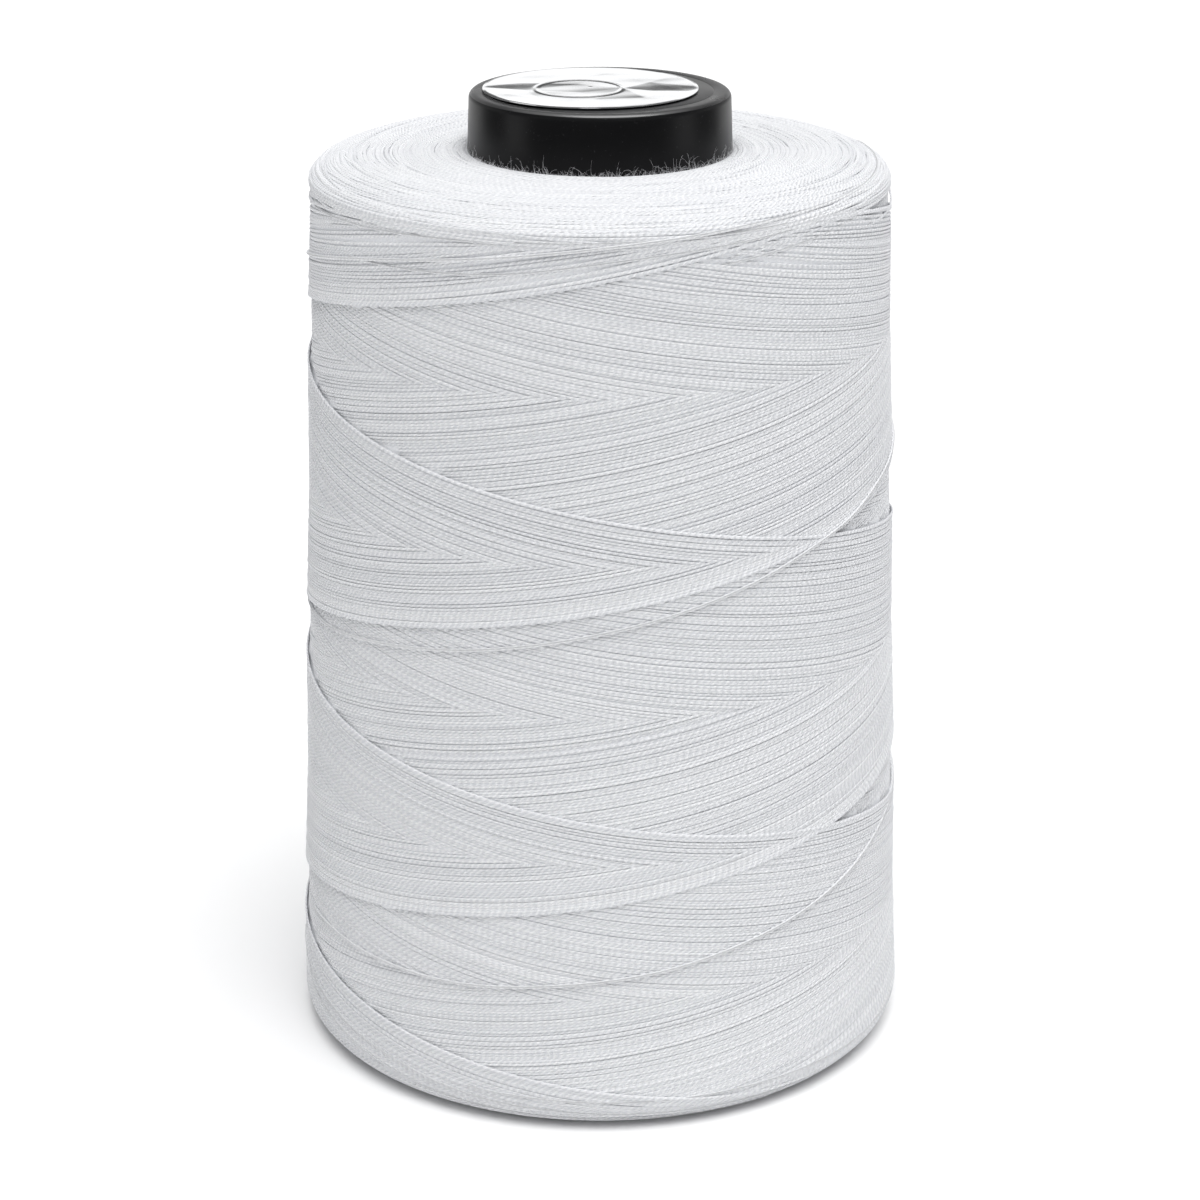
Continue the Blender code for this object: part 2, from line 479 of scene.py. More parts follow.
def core_side_material():
    """Smooth black plastic of the collar, with faint moulding waves and a little dust."""
    black, dusty = (0.004, 0.004, 0.0045), (0.03, 0.03, 0.032)
    wave_scale, dust_scale = 90.0, 2600.0
    material, tree, shader = new_material("black_plastic", black, 0.3, specular=0.15)
    place = object_place(tree)
    waves = noise(tree, place, wave_scale, detail=2.0)
    dust = noise(tree, place, dust_scale, detail=1.0)
    tree.links.new(ramp(tree, dust, ((0.70, black), (0.80, dusty))), shader.inputs["Base Color"])
    tree.links.new(map_range(tree, waves, 0.24, 0.38), shader.inputs["Roughness"])
    add_bump(tree, shader, waves, 0.15 * MM, strength=0.5)
    return material


def core_end_material():
    """End face of the core: the same plastic, finely turned, so that it shines more at a low angle. Its base
    colour is lighter than the side's: painted light on the end face.
    """
    turned_scale, cloud_scale = 5000.0, 260.0
    # The base colour, lighter than the collar's black, is painted light on the end face.
    material, tree, shader = new_material("black_plastic_end", (0.012, 0.012, 0.013), 0.4, specular=0.8)
    place = object_place(tree)
    split = tree.nodes.new("ShaderNodeSeparateXYZ")
    tree.links.new(place, split.inputs[0])
    x_squared = maths(tree, "MULTIPLY", split.outputs["X"], split.outputs["X"])
    y_squared = maths(tree, "MULTIPLY", split.outputs["Y"], split.outputs["Y"])
    radius = maths(tree, "SQRT", maths(tree, "ADD", x_squared, y_squared))
    ring_place = vector_of(tree, maths(tree, "MULTIPLY", radius, turned_scale), 0.0, 0.0)
    turned = noise(tree, ring_place, 1.0, detail=3.0)
    cloud = noise(tree, place, cloud_scale, detail=4.0)
    tree.links.new(map_range(tree, cloud, 0.22, 0.36), shader.inputs["Roughness"])
    add_bump(tree, shader, maths(tree, "ADD", turned, cloud), 0.01 * MM)
    return material


def foil_material():
    """Bright rolled foil with fine rolling lines and a few duller patches."""
    dull, bright = (0.80, 0.81, 0.83), (0.92, 0.93, 0.94)
    rolling_scale = (180.0, 4200.0, 180.0)
    rolling_way = math.radians(24)
    patch_scale = 320.0
    material, tree, shader = new_material("silver_foil", (0.86, 0.87, 0.88), 0.14, metallic=1.0)
    place = object_place(tree)
    mapping = tree.nodes.new("ShaderNodeMapping")
    mapping.inputs["Scale"].default_value = rolling_scale
    mapping.inputs["Rotation"].default_value = (0.0, 0.0, rolling_way)
    tree.links.new(place, mapping.inputs["Vector"])
    rolling = noise(tree, mapping.outputs[0], 1.0, detail=2.0)
    patches = noise(tree, place, patch_scale, detail=3.0)
    roughness = maths(tree, "ADD", map_range(tree, rolling, 0.02, 0.06), map_range(tree, patches, 0.0, 0.04))
    tree.links.new(roughness, shader.inputs["Roughness"])
    tree.links.new(ramp(tree, patches, ((0.3, dull), (0.7, bright))), shader.inputs["Base Color"])
    add_bump(tree, shader, rolling, 0.001 * MM)
    return material


# -------- the winding's pieces

def build_underlay(material):
    """The closed body of packed thread just under the visible threads; it stands for the CAD winding."""
    columns = 240
    foot_rows, side_rows, top_rows = 14, 90, 24
    base_clearance = 0.1 * MM
    levels = np.concatenate((
        np.linspace(BASE_T, FOOT_ROUND_HEIGHT, foot_rows),
        np.linspace(FOOT_ROUND_HEIGHT, SHOULDER_Z, side_rows)[1:],
        np.linspace(SHOULDER_Z, COLLAR_T, top_rows)[1:]))
    azimuth = np.linspace(0, FULL_TURN, columns, endpoint=False)
    azimuth, level = np.meshgrid(azimuth, levels)
    _, height, _, _ = outline_at(level)
    depth = UNDERLAY_DEPTH + surface_sink(azimuth, height) * side_share(level)
    points, _ = on_winding(azimuth, level, -depth)
    points[..., 2] = np.maximum(points[..., 2], base_clearance)
    faces = grid_faces(len(levels), columns) + closing_faces(len(levels), columns)
    mesh = bpy.data.meshes.new("wound_underlay")
    mesh.from_pydata(points.reshape(-1, 3), [], faces)
    piece = finish_piece("wound_underlay", mesh, material)
    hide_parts("wound_thread")


def side_share(t):
    """1 on the side, easing to 0 over the shoulder and round the foot, where the bands run together."""
    ease = 7 * MM
    past_shoulder = 6 * MM
    past_foot = 4 * MM
    top = smooth_step((SHOULDER_Z + past_shoulder - t) / ease)
    foot = smooth_step((t + past_foot) / ease)
    return top * foot


def thread_character(rng):
    """One thread's wander and lift at each half turn, its thickness, and its shade."""
    knots = BANDS + 1
    wander = rng.normal(0, WANDER, knots) + rng.normal(0, SHARED_WANDER)
    height = rng.normal(0, UNEVEN_LIFT, knots)
    kind = rng.random()
    if kind < PROUD_CHANCE:
        height = height + PROUD_RISE
    elif kind < PROUD_OR_SUNK_CHANCE:
        height = height - SUNK_DROP
    return wander, height, rng.normal(1.0, THICKNESS_SPREAD), rng.random()


def lay_side_threads(material):
    """Every visible stretch of the rising and falling threads, band by band from the top."""
    rng = np.random.default_rng(SEED)
    bands = [Strands() for _ in range(BANDS)]
    for direction in (RISING, FALLING):
        for index in range(THREADS):
            character = thread_character(rng)
            wave = OVERSHOOT_WAVE * math.sin(OVERSHOOT_WAVE_STEP * index)
            overshoot = (OVERSHOOT + wave + rng.normal(0, OVERSHOOT_SPREAD)) * MM
            for band, strands in enumerate(bands):
                lay_stretch(strands, band, direction, index, character, overshoot)
    for number, strands in enumerate(bands):
        piece = strands.build(f"band_{number + 1}_threads", material)


def lay_stretch(strands, band, direction, index, character, overshoot):
    """The stretch of one thread that shows in one band; both its ends dive under the newer threads."""
    wander, height, thickness, shade = character
    age_share = index / THREADS
    first, last = (0.0, 1 - age_share) if direction == RISING else (age_share, 1.0)
    if last - first < SHORTEST_STRETCH:
        return
    dive = DIVE_LENGTH / HALF_TURN_LENGTH
    early = DIVE_EARLY / HALF_TURN_LENGTH
    start, end = band + first - dive, band + last + dive
    rows = max(4, int(math.ceil((end - start) * HALF_TURN_LENGTH / SEGMENT)) + 1)
    u = np.linspace(start, end, rows)
    inside = np.clip(u, 0, BANDS)
    azimuth = azimuth_of_phase(math.pi * (NEWEST_PHASE + direction * u - 2 * age_share))
    t = stroke_height(inside) + smooth_curve(inside, range(BANDS + 1), wander)
    t = t + overshoot * np.exp(-(inside / OVERSHOOT_REACH) ** 2)
    past_start = smooth_step((band + first + early - u) / (dive + early))
    past_end = smooth_step((u - band - last + early) / (dive + early))
    newest = max(0.0, 1 - index / NEWEST_COUNT)
    sink = BAND_DEPTH * age_share * side_share(t)
    lift = smooth_curve(inside, range(BANDS + 1), height) - sink
    lift = lift - DIVE_DEPTH * (past_start + past_end) + newest * NEWEST_LIFT
    width = THREAD_WIDTH * thickness * (1 + NEWEST_SWELL * newest)
    strands.add(azimuth, t, lift, width, THREAD_RISE * thickness, shade)


RING_SEGMENT = 3.0 * MM            # longest step along a ring or an arc
RING_OVERLAP = 0.05                # radians that a ring runs past its own start, at each end
RING_DIVE = 0.08                   # radians over which its ends go under
END_RING_PITCH = 0.47 * MM
BASE_RING_PITCH = 0.55 * MM
END_ARCS = 420


def lay_end_face(material):
    """Turns of the end face and shoulder: even rings below, and loose arcs that cross them on top."""
    rng = np.random.default_rng(SEED + 1)
    strands = Strands()
    start_t = SHOULDER_Z - 1.0 * MM
    collar_margin = 0.6 * MM
    count = int((COLLAR_T - start_t) / END_RING_PITCH)
    for index in range(count):
        t_middle = start_t + (index + 0.5) * (COLLAR_T - start_t) / count
        lay_ring(strands, rng, t_middle, -0.06 * MM)
    for _ in range(END_ARCS):
        place = rng.random()
        t_middle = start_t + (COLLAR_T - start_t - collar_margin) * place
        outer = 1 - place
        slope = rng.normal(0, 0.012 + 0.05 * outer ** 2)
        lay_arc(strands, rng, t_middle, slope, rng.uniform(0.7, 2.2))
    piece = strands.build("end_face_threads", material)


def ring_wave(rng, azimuth):
    """A ring's slow wander to either side, from a few waves round the cone."""
    wave = 0
    for count in (1, 2, 3, 5):
        wave = wave + rng.normal(0, 0.12 * MM / count) * np.sin(count * azimuth + rng.uniform(0, FULL_TURN))
    return wave


def lay_ring(strands, rng, t_middle, lift):
    """One nearly level turn right round, which dives under itself where it closes."""
    fewest_rows = 24
    dive_depth = 0.25 * MM
    collar_gap = 0.15 * MM
    radius = outline_at(np.array([t_middle]))[0][0]
    rows = max(fewest_rows, int(FULL_TURN * radius / RING_SEGMENT))
    start = rng.uniform(0, FULL_TURN)
    azimuth = start + np.linspace(-RING_OVERLAP, FULL_TURN + RING_OVERLAP, rows)
    wave = ring_wave(rng, azimuth)
    ends = (smooth_step((RING_DIVE - (azimuth - azimuth[0])) / RING_DIVE)
            + smooth_step((RING_DIVE - (azimuth[-1] - azimuth)) / RING_DIVE))
    heights = lift + rng.normal(0, 0.03 * MM) - dive_depth * ends
    t = np.minimum(t_middle + wave, COLLAR_T - collar_gap)
    strands.add(azimuth, t, heights, THREAD_WIDTH * rng.normal(1.0, 0.06), THREAD_RISE, rng.random())


def lay_arc(strands, rng, t_middle, slope, reach):
    """One arc of thread over the rings: it comes out of them, lies at a small angle, and goes back in."""
    fewest_rows = 6
    dive = 0.12
    dive_depth = 0.3 * MM
    radius = outline_at(np.array([t_middle]))[0][0]
    rows = max(fewest_rows, int(reach * radius / RING_SEGMENT))
    turn = np.linspace(-reach / 2, reach / 2, rows)
    azimuth = rng.uniform(0, FULL_TURN) + turn
    bow = rng.normal(0, 0.6 * MM)
    t = t_middle + slope * turn * radius + bow * (turn / reach) ** 2
    t = np.clip(t, SHOULDER_Z - 4 * MM, COLLAR_T - 0.2 * MM)
    ends = smooth_step((np.abs(turn) - reach / 2 + dive) / dive)
    lift = rng.uniform(-0.02, 0.07) * MM - dive_depth * ends
    strands.add(azimuth, t, lift, THREAD_WIDTH * rng.normal(0.95, 0.08), THREAD_RISE, rng.random())


def lay_base(material):
    """Turns round the foot and across the base, which rest on the surface."""
    rng = np.random.default_rng(SEED + 2)
    strands = Strands()
    end_t = 4.5 * MM
    count = int((end_t - BASE_T) / BASE_RING_PITCH)
    for index in range(count):
        t_middle = BASE_T + (index + 0.7) * (end_t - BASE_T) / count
        lay_ring(strands, rng, t_middle, -0.10 * MM)
    for thread_points in strands.points:
        thread_points[:, 2] = np.maximum(thread_points[:, 2], 0.0)
    piece = strands.build("base_threads", material)


# Routes given point by point: azimuth in degrees from the front, height in millimetres. The last thread is
# laid
# loosely over the finished package: it climbs from near the foot, twice round the back, and over the top
# shoulder.
LAST_THREAD = (
    (-78, 23.2), (-65, 24.1), (-46, 24.3), (-27, 24.9), (-8, 27.0), (14, 29.9), (27, 32.3), (40, 34.9),
    (55, 38.6), (65, 41.3), (80, 44.3), (130, 53.0), (180, 61.6), (230, 70.2), (280, 79.0), (299, 80.2),
    (312, 81.7), (335, 84.7), (357, 88.6), (368, 90.8), (387, 95.1), (405, 99.7), (415, 101.9),
    (425, 104.6), (433, 106.1), (490, 116.0), (545, 125.4), (600, 134.8), (650, 143.0), (671, 146.3),
    (700, 149.8), (723, 152.3), (750, 154.4), (790, 156.6), (830, 158.0))
TOP_THREADS = (
    ((-60, 145.5), (-18, 147.4), (4, 150.0), (30, 152.0), (60, 153.6), (95, 155.0)),
    ((-95, 150.4), (-60, 151.1), (-20, 152.3), (25, 153.4), (70, 154.6)),
    ((20, 148.2), (45, 150.6), (72, 152.9), (105, 155.0), (140, 156.6)),
)
FOOT_THREADS = (
    ((-95, 15.0), (-62, 9.6), (-41, 6.9), (-25, 4.8), (0, 3.4), (40, 2.6), (80, 2.4)),
    ((-30, 6.4), (0, 5.7), (30, 5.5), (60, 5.3), (95, 5.9)),
    ((-80, 11.0), (-55, 6.4), (-30, 3.2), (0, 1.8), (40, 1.2)),
    ((150, 12.0), (190, 7.0), (230, 4.4), (270, 3.4)),
)


def lay_route(strands, route, shade, lift, diameter):
    """One loose thread laid along a given route, tucked in at both its ends."""
    step = 2.4 * MM
    tuck_degrees = 7.0
    tuck_depth = 0.6 * MM
    bridge_reach = 9
    degrees, heights = np.array(route, float).T
    length = math.radians(degrees[-1] - degrees[0]) * FOOT_RADIUS
    turn = np.linspace(degrees[0], degrees[-1], int(length / step))
    azimuth = np.radians(turn)
    t = MM * smooth_curve(turn, degrees, heights)
    ends = (smooth_step(1 - (turn - turn[0]) / tuck_degrees)
            + smooth_step(1 - (turn[-1] - turn) / tuck_degrees))
    under = surface_sink(azimuth, np.minimum(t, SHOULDER_Z)) * side_share(t)
    crest = lift - smoothed(under, bridge_reach) - ends * tuck_depth
    strands.add(azimuth, t, crest, diameter, diameter / 2, shade, TUBE_ANGLES)


def smoothed(values, reach):
    """A moving average that keeps the length: a loose thread bridges the steps under it."""
    padded = np.pad(values, reach, mode="edge")
    window = np.ones(2 * reach + 1) / (2 * reach + 1)
    return np.convolve(padded, window, mode="valid")


def lay_loose_threads(material):
    """The threads that lie proud of the package. Their colour is lighter than the rest's: painted highlight.
    """
    last_lift, last_diameter = 0.42 * MM, 0.56 * MM
    lift, diameter = 0.16 * MM, 0.48 * MM
    strands = Strands()
    # The fixed shade numbers, 1.2 for the last thread and 0.85 and 0.8 for the others, make these threads
    # lighter than the random rest: painted highlight where they stand proud.
    lay_route(strands, LAST_THREAD, 1.2, last_lift, last_diameter)
    for route in TOP_THREADS:
        lay_route(strands, route, 0.85, lift, diameter)
    for route in FOOT_THREADS:
        lay_route(strands, route, 0.8, lift, diameter)
    piece = strands.build("proud_threads", material)


# -------- loose fibres

def unit(vectors):
    """The vectors at length 1."""
    return vectors / np.linalg.norm(vectors, axis=-1, keepdims=True)


def curled_paths(rng, roots, directions, lengths, bend, steps):
    """Points of hairs that start along their directions and curl off to a random side."""
    count = len(roots)
    to_side = unit(np.cross(directions, rng.normal(size=(count, 3))))
    to_other = np.cross(directions, to_side)
    share = np.linspace(0, 1, steps)[None, :, None]
    turn = bend[:, None, None] * share
    waver = 0.5 * np.sin(turn * rng.uniform(0.5, 2.0, (count, 1, 1)))
    ahead = directions[:, None] * np.cos(turn)
    heading = unit(ahead + to_side[:, None] * np.sin(turn) + to_other[:, None] * waver)
    walk = np.cumsum(heading[:, :-1], axis=1) * (lengths / (steps - 1))[:, None, None]
    return np.concatenate((roots[:, None], roots[:, None] + walk), axis=1)


def hair_mesh(name, paths, thickness):
    """Three-sided tapered tubes along many paths, joined into one mesh."""
    count, steps, _ = paths.shape
    sides = 3
    tip_share = 0.45
    no_hair_way = (0.31, 0.52, 0.79)
    path = unit(np.gradient(paths, axis=1))
    right = unit(np.cross(path, np.broadcast_to(no_hair_way, path.shape)))
    up = np.cross(path, right)
    taper = np.linspace(1.0, tip_share, steps)[None, :, None, None]
    angle = np.arange(sides) * FULL_TURN / sides
    ring = right[:, :, None] * np.cos(angle)[:, None] + up[:, :, None] * np.sin(angle)[:, None]
    points = paths[:, :, None] + ring * taper * (thickness / 2)[:, None, None, None]
    mesh = bpy.data.meshes.new(name)
    mesh.from_pydata(points.reshape(-1, 3), [], hair_faces(count, steps, sides))
    flat = points.reshape(-1, 3)
    turn = np.repeat(np.arctan2(paths[:, 0, 0], -paths[:, 0, 1]) / FULL_TURN, steps * sides)
    add_round_map(mesh, turn + np.tile(angle, count * steps) * 0.001, flat[:, 2])
    return mesh


def hair_faces(count, steps, sides):
    """Sides, root caps and tip caps of three-sided hairs."""
    first = np.arange(count) * steps * sides
    start = first[:, None, None]
    row = (np.arange(steps - 1) * sides)[None, :, None]
    side = np.arange(sides)[None, None, :]
    after = (side + 1) % sides
    low, high = start + row, start + row + sides
    quads = np.stack((low + side, low + after, high + after, high + side), axis=-1).reshape(-1, 4).tolist()
    roots = [[root + 2, root + 1, root] for root in first.tolist()]
    tips = [[tip, tip + 1, tip + 2] for tip in (first + (steps - 1) * sides).tolist()]
    return quads + roots + tips


def round_the_cone(azimuth):
    """Outward and sideways directions at azimuths round the cone."""
    level = np.zeros(len(azimuth))
    outward = np.stack((np.sin(azimuth), -np.cos(azimuth), level), axis=1)
    sideways = np.stack((np.cos(azimuth), np.sin(azimuth), level), axis=1)
    return outward, sideways


def grow_collar_fuzz(material):
    """Short curly fibres that stand up round the foot of the collar."""
    rng = np.random.default_rng(SEED + 3)
    count = 1500
    root_depth = 0.2 * MM
    shortest, longest, mean_extra = 0.5 * MM, 3.6 * MM, 0.75 * MM
    azimuth = rng.uniform(0, FULL_TURN, count)
    out = rng.exponential(0.5 * MM, count) + 0.05 * MM
    radius = core_radius(WOUND_HIGH.z) + out
    root_height = np.full(count, WOUND_HIGH.z - root_depth)
    roots = np.stack((radius * np.sin(azimuth), -radius * np.cos(azimuth), root_height), axis=1)
    outward, sideways = round_the_cone(azimuth)
    upward = np.array((0.0, 0.0, 1.0))
    outward_lean = outward * rng.normal(-0.1, 0.35, count)[:, None]
    sideways_lean = sideways * rng.normal(0, 0.6, count)[:, None]
    directions = unit(upward + outward_lean + sideways_lean)
    lengths = np.minimum(shortest + rng.exponential(mean_extra, count), longest)
    paths = curled_paths(rng, roots, directions, lengths, rng.uniform(0.3, 3.2, count), 7)
    keep_off_core(paths)
    mesh = hair_mesh("collar_fuzz", paths, rng.uniform(0.022, 0.04, count) * MM)
    finish_piece("collar_fuzz", mesh, material)


def keep_off_core(paths):
    """Pushes points outside the core's surface, in place."""
    clearance = 0.04 * MM
    radius = np.hypot(paths[..., 0], paths[..., 1])
    least = core_radius(paths[..., 2]) + clearance
    scale = np.maximum(1.0, least / radius)
    paths[..., 0] *= scale
    paths[..., 1] *= scale


def grow_surface_fuzz(material):
    """Stray fibres along the threads of the side and the end face, lifting a little at their tips."""
    rng = np.random.default_rng(SEED + 4)
    count = 5200
    root_depth = 0.03 * MM
    shortest, longest, mean_extra = 0.4 * MM, 2.4 * MM, 0.5 * MM
    azimuth = rng.uniform(0, FULL_TURN, count)
    t = rng.uniform(1 * MM, COLLAR_T, count)
    sink = surface_sink(azimuth, np.minimum(t, SHOULDER_Z)) * side_share(t)
    roots, normals = on_winding(azimuth, t, -sink - root_depth)
    _, sideways = round_the_cone(azimuth)
    up_way = np.cross(sideways, normals)
    sign = rng.choice((-1.0, 1.0), count)[:, None]
    directions = unit(sideways * sign + normals * rng.uniform(0.05, 0.5, count)[:, None]
                      + up_way * rng.normal(0, 0.35, count)[:, None])
    lengths = np.minimum(shortest + rng.exponential(mean_extra, count), longest)
    paths = curled_paths(rng, roots, directions, lengths, rng.uniform(0.1, 1.4, count), 5)
    keep_off_core(paths)
    mesh = hair_mesh("surface_fuzz", paths, rng.uniform(0.015, 0.026, count) * MM)
    finish_piece("surface_fuzz", mesh, material)


# -------- core and foil

def core_outline():
    """Radius and height round the core's wall: bore edge, end face, rim, outside, foot, inside, flange."""
    top = CORE_HIGH.z
    wall, flange, bore, rim = 1.8 * MM, 1.8 * MM, 14.0 * MM, 1.1 * MM
    groove_r, groove_half, groove_depth = 19.1 * MM, 0.22 * MM, 0.12 * MM
    side_rows = 40
    inside_top = top - flange
    end_r = [bore, groove_r - groove_half, groove_r, groove_r + groove_half]
    end_z = [top, top, top - groove_depth, top]
    rim_r, rim_z = elliptic_arc(core_radius(top - rim) - rim, top - rim, rim, rim, math.pi / 2, 0, 8)
    side_z = np.linspace(top - rim, 0.0, side_rows)[1:]
    inside_r = [core_radius(0) - wall, core_radius(inside_top) - wall, bore]
    inside_z = [0.0, inside_top, inside_top]
    radius = np.concatenate((end_r, rim_r, core_radius(side_z), inside_r))
    height = np.concatenate((end_z, rim_z, side_z, inside_z))
    end_rows = len(end_r) + len(rim_r) // 2
    return radius, height, end_rows


def build_core(side_material, end_material):
    """The moulded core, turned finely enough for smooth gloss."""
    columns = 180
    radius, height, end_rows = core_outline()
    rows = len(radius)
    angle = np.linspace(0, FULL_TURN, columns, endpoint=False)
    points = np.stack((radius[:, None] * np.sin(angle), -radius[:, None] * np.cos(angle),
                       np.repeat(height[:, None], columns, axis=1)), axis=-1).reshape(-1, 3)
    faces = [face[::-1] for face in grid_faces(rows, columns) + closing_faces(rows, columns)]
    mesh = bpy.data.meshes.new("core")
    mesh.from_pydata(points, [], faces)
    mesh.materials.append(side_material)
    slots = np.zeros(len(faces), np.int32)
    slots[:end_rows * columns] = 1
    piece = finish_piece("core", mesh, end_material)
    mesh.polygons.foreach_set("material_index", slots)
    mesh.set_sharp_from_angle(angle=math.radians(35))
    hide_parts("core_tube")


# Creases of the foil: x and y from its centre and height above its lowest level, in millimetres.
FOIL_CREASES = (
    (-19.0, 0.0, 0.16), (-15.0, 12.0, 0.22), (-6.0, 18.0, 0.26), (5.0, 18.0, 0.26), (15.0, 11.0, 0.28),
    (19.0, 0.0, 0.05), (15.5, -11.0, 0.02), (6.0, -18.0, 0.04), (-6.0, -18.0, 0.10), (-15.0, -11.0, 0.12),
    (5.6, -1.2, 0.20), (10.0, 4.0, 0.27), (10.5, -3.2, 0.02), (16.5, -3.4, -0.02), (9.0, -9.0, 0.06),
    (1.0, -10.5, 0.02), (-8.5, -9.5, 0.00), (-11.0, -2.5, 0.02), (-12.0, 3.5, 0.20), (-3.0, 8.0, 0.26),
    (-6.0, 12.0, 0.24), (3.0, 12.0, 0.28), (-14.0, -6.0, 0.14), (-2.0, 2.5, 0.20), (-1.5, -4.5, 0.06),
)
FOIL_CREASE_SCALE = 0.5
FOIL_WRINKLES = 14
FOIL_RINGS = 64
FOIL_COLUMNS = 220
FOIL_SKIN = 0.06 * MM              # lowest level of the creased top above the disc's underside


def crease_height(x, y):
    """Height of the creased foil over its plane, from flat facets between the crease points."""
    corners = [Vector((px * MM, py * MM)) for px, py, _ in FOIL_CREASES]
    levels = np.array([level for _, _, level in FOIL_CREASES]) * FOIL_CREASE_SCALE * MM
    triangles = delaunay_2d_cdt(corners, [], [], 0, 1e-6)[2]
    places = np.array([tuple(corner) for corner in corners])
    height = np.zeros_like(x)
    for triangle in triangles:
        (ax, ay), (bx, by), (cx, cy) = places[list(triangle)]
        area = (bx - ax) * (cy - ay) - (cx - ax) * (by - ay)
        second = ((x - ax) * (cy - ay) - (cx - ax) * (y - ay)) / area
        third = ((bx - ax) * (y - ay) - (x - ax) * (by - ay)) / area
        first = 1 - second - third
        inside = np.minimum(first, np.minimum(second, third)) >= -1e-9
        value = levels[triangle[0]] * first + levels[triangle[1]] * second + levels[triangle[2]] * third
        height = np.where(inside, value, height)
    return height


def foil_relief(x, y, share):
    """Height of the foil's top: creased facets, fine wrinkles, the pressed circle, and a flatter edge."""
    rng = np.random.default_rng(SEED + 5)
    height = crease_height(x, y)
    for _ in range(FOIL_WRINKLES):
        wave = rng.uniform(250, 900)
        heading = rng.uniform(0, FULL_TURN)
        height += rng.normal(0, 0.0022 * MM) * np.sin(wave * (x * math.cos(heading) + y * math.sin(heading)))
    circle_x, circle_y, circle_radius = -1.9 * MM, -1.4 * MM, 7.2 * MM
    lip_rise, lip_width = 0.05 * MM, 0.3 * MM
    from_circle = np.hypot(x - circle_x, y - circle_y) - circle_radius
    height += lip_rise * np.exp(-(from_circle / lip_width) ** 2)
    edge_width = 0.03
    edge = smooth_step((share - 1 + edge_width) / edge_width)
    return height * (1 - 0.6 * edge) + 0.02 * MM


def foil_faces():
    """Faces of the creased top, the fan at its middle, and the flat underside."""
    faces = [face[::-1] for face in grid_faces(FOIL_RINGS, FOIL_COLUMNS)]
    under_start = (FOIL_RINGS - 1) * FOIL_COLUMNS
    top_middle = under_start + FOIL_COLUMNS
    under_middle = top_middle + 1
    for column in range(FOIL_COLUMNS):
        after = (column + 1) % FOIL_COLUMNS
        faces.append([top_middle, column, after])
        faces.append([under_middle, under_start + after, under_start + column])
    return faces


def build_foil(material):
    """The foil disc: its creased top, a thin wall at its edge, and its flat underside."""
    disc_radius = (FOIL_HIGH.x - FOIL_LOW.x) / 2
    centre = (FOIL_HIGH + FOIL_LOW) / 2
    share = np.linspace(0, 1, FOIL_RINGS)[1:, None]
    angle = np.linspace(0, FULL_TURN, FOIL_COLUMNS, endpoint=False)[None, :]
    x = disc_radius * share * np.sin(angle)
    y = -disc_radius * share * np.cos(angle)
    height = foil_relief(x, y, share)
    top = FOIL_LOW.z + FOIL_SKIN
    points = np.stack((x + centre.x, y + centre.y, top + height), axis=-1).reshape(-1, 3)
    under = points[-FOIL_COLUMNS:].copy()
    under[:, 2] = FOIL_LOW.z
    middle_height = crease_height(np.zeros(1), np.zeros(1))[0]
    middles = [(centre.x, centre.y, top + middle_height), (centre.x, centre.y, FOIL_LOW.z)]
    mesh = bpy.data.meshes.new("foil")
    mesh.from_pydata(np.concatenate((points, under, middles)), [], foil_faces())
    piece = finish_piece("foil", mesh, material)
    mesh.set_sharp_from_angle(angle=math.radians(40))
    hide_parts("foil_disc")


# -------- stage, light and camera

def build_floor():
    """A wide pale floor under the cone."""
    material, _, _ = new_material("pale_floor", (0.94, 0.94, 0.94), 0.9, specular=0.0)
    bpy.ops.mesh.primitive_plane_add(size=12.0, location=(0.0, 0.0, 0.0))
    floor = bpy.context.object
    floor.name = "floor"
    floor.data.materials.append(material)
    floor.visible_glossy = False


def grey_stops(pairs):
    """Ramp stops of plain grey from (position, brightness) pairs."""
    return [(position, (grey, grey, grey)) for position, grey in pairs]


# What gloss sees: brightness by height, from straight down (0) through level (0.5) to straight up (1), and
# for the low part by the way round, from the front (0) to the back (1).
GLOSS_BY_HEIGHT = (
    (0.0, 0.05), (0.49, 0.1), (0.505, 0.5), (0.54, 0.6), (0.548, 1.15), (0.5655, 1.15), (0.568, 0.14),
    (0.60, 0.10), (0.61, 0.9), (0.635, 0.9), (0.645, 0.2), (0.75, 0.3), (0.80, 1.3), (1.0, 1.3))
GLOSS_BY_SIDE = (
    (0.0, 0.05), (0.34, 0.05), (0.40, 1.6), (0.46, 1.6), (0.52, 0.15), (0.66, 0.15), (0.72, 1.2), (1.0, 1.0))


def build_world():
    """A pale even dome for light and view; gloss sees softboxes with dark gaps between them."""
    world = bpy.data.worlds.new("studio")
    bpy.context.scene.world = world
    world.use_nodes = True
    tree = world.node_tree
    tree.nodes.clear()
    output = tree.nodes.new("ShaderNodeOutputWorld")
    dome = tree.nodes.new("ShaderNodeBackground")
    dome.inputs["Color"].default_value = (0.985, 0.99, 1.0, 1.0)
    dome.inputs["Strength"].default_value = 0.38
    boxes = tree.nodes.new("ShaderNodeBackground")
    tree.links.new(softbox_colour(tree), boxes.inputs["Color"])
    choose = tree.nodes.new("ShaderNodeMixShader")
    path = tree.nodes.new("ShaderNodeLightPath")
    tree.links.new(path.outputs["Is Glossy Ray"], choose.inputs[0])
    tree.links.new(dome.outputs[0], choose.inputs[1])
    tree.links.new(boxes.outputs[0], choose.inputs[2])
    tree.links.new(choose.outputs[0], output.inputs["Surface"])


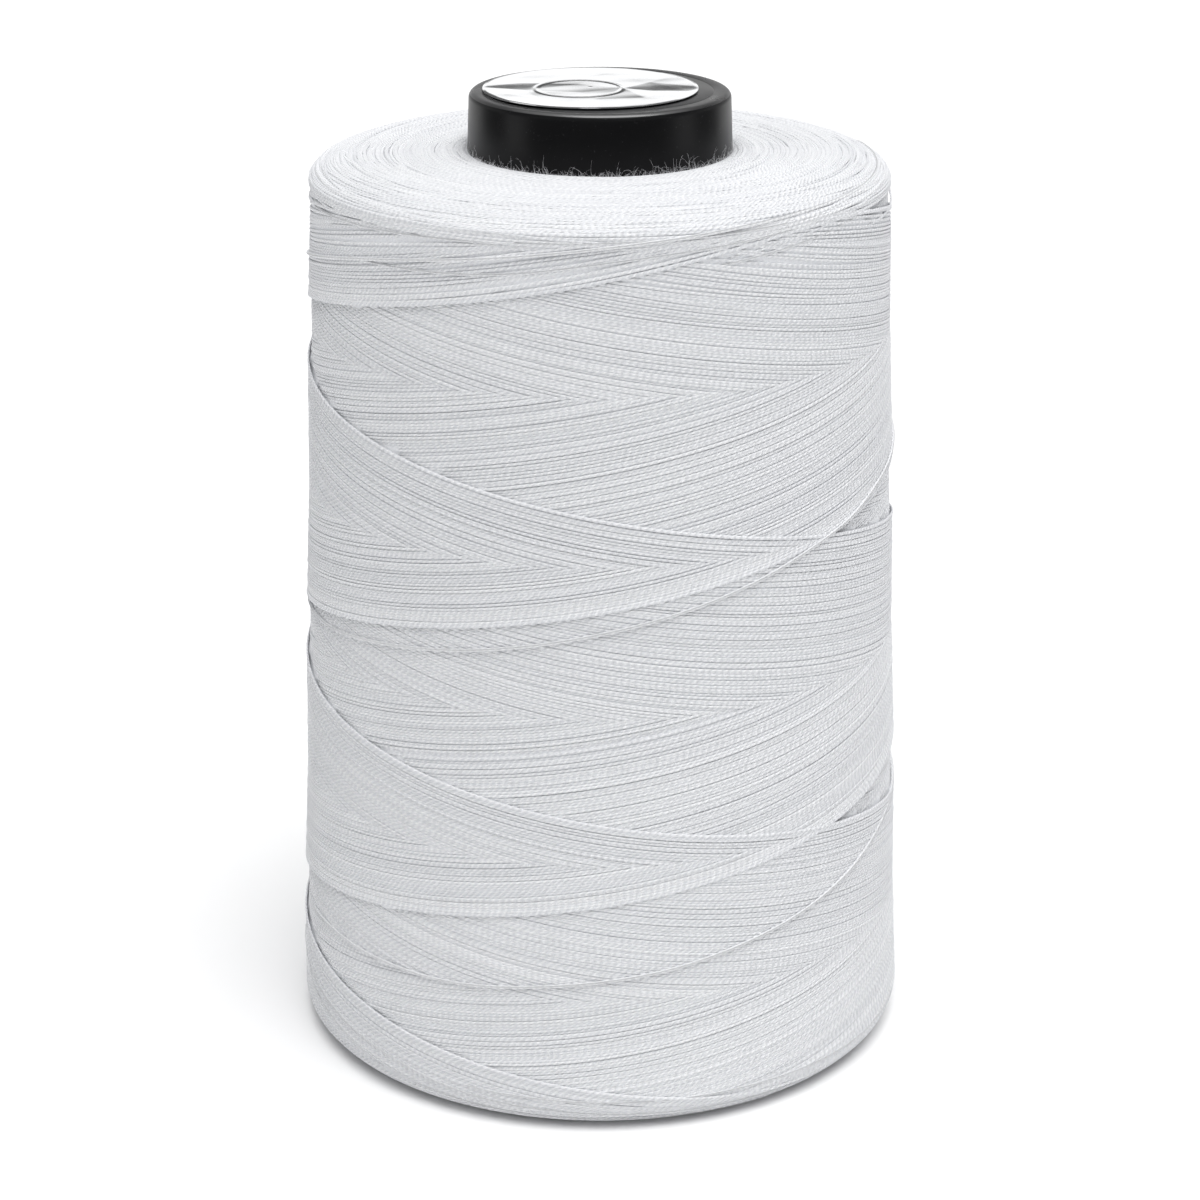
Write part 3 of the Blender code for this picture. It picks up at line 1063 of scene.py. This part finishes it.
def softbox_colour(tree):
    """Brightness of the studio as gloss sees it: by height above the level, and by the way round below it."""
    direction = tree.nodes.new("ShaderNodeTexCoord").outputs["Generated"]
    split = tree.nodes.new("ShaderNodeSeparateXYZ")
    tree.links.new(direction, split.inputs[0])
    elevation = maths(tree, "ARCSINE", split.outputs["Z"])
    towards_front = maths(tree, "MULTIPLY", split.outputs["Y"], -1.0)
    azimuth = maths(tree, "ABSOLUTE", maths(tree, "ARCTAN2", split.outputs["X"], towards_front))
    height = maths(tree, "ADD", maths(tree, "DIVIDE", elevation, math.pi), 0.5)
    mix = tree.nodes.new("ShaderNodeMix")
    mix.data_type = "RGBA"
    lowest, level = -0.9, 0.0
    tree.links.new(between(tree, elevation, lowest, level), mix.inputs["Factor"])
    round_share = maths(tree, "DIVIDE", azimuth, math.pi)
    tree.links.new(ramp(tree, height, grey_stops(GLOSS_BY_HEIGHT)), mix.inputs["A"])
    tree.links.new(ramp(tree, round_share, grey_stops(GLOSS_BY_SIDE)), mix.inputs["B"])
    return mix.outputs["Result"]


def between(tree, value, low, high):
    """1 where the value lies between low and high, else 0."""
    above = maths(tree, "GREATER_THAN", value, low)
    below = maths(tree, "LESS_THAN", value, high)
    return maths(tree, "MULTIPLY", above, below)


def build_key_light():
    """A very soft light from above and a little in front."""
    light = bpy.data.lights.new("key", "SUN")
    light.energy = 2.85
    light.angle = math.radians(50)
    light.color = (1.0, 1.0, 1.0)
    lamp = bpy.data.objects.new("key", light)
    lamp.rotation_euler = (math.radians(12), math.radians(6), 0.0)
    bpy.context.scene.collection.objects.link(lamp)


def build_camera():
    """The one camera, from a little above the cone's top."""
    camera = bpy.data.cameras.new("camera")
    camera.sensor_width = 36.0
    camera.lens = CAMERA_LENS
    camera.clip_start = 0.01
    camera.clip_end = 50.0
    holder = bpy.data.objects.new("camera", camera)
    holder.location = CAMERA_PLACE
    holder.rotation_euler = (math.radians(90 - CAMERA_TILT), 0.0, 0.0)
    bpy.context.scene.collection.objects.link(holder)
    bpy.context.scene.camera = holder


def main():
    bpy.context.scene.view_settings.view_transform = "Standard"
    build_floor()
    build_world()
    build_key_light()
    build_camera()
    thread = thread_material()
    build_underlay(underlay_material())
    lay_side_threads(thread)
    lay_end_face(thread)
    lay_base(thread)
    lay_loose_threads(thread)
    fibre = hair_material()
    grow_collar_fuzz(fibre)
    grow_surface_fuzz(fibre)
    build_core(core_side_material(), core_end_material())
    build_foil(foil_material())


main()
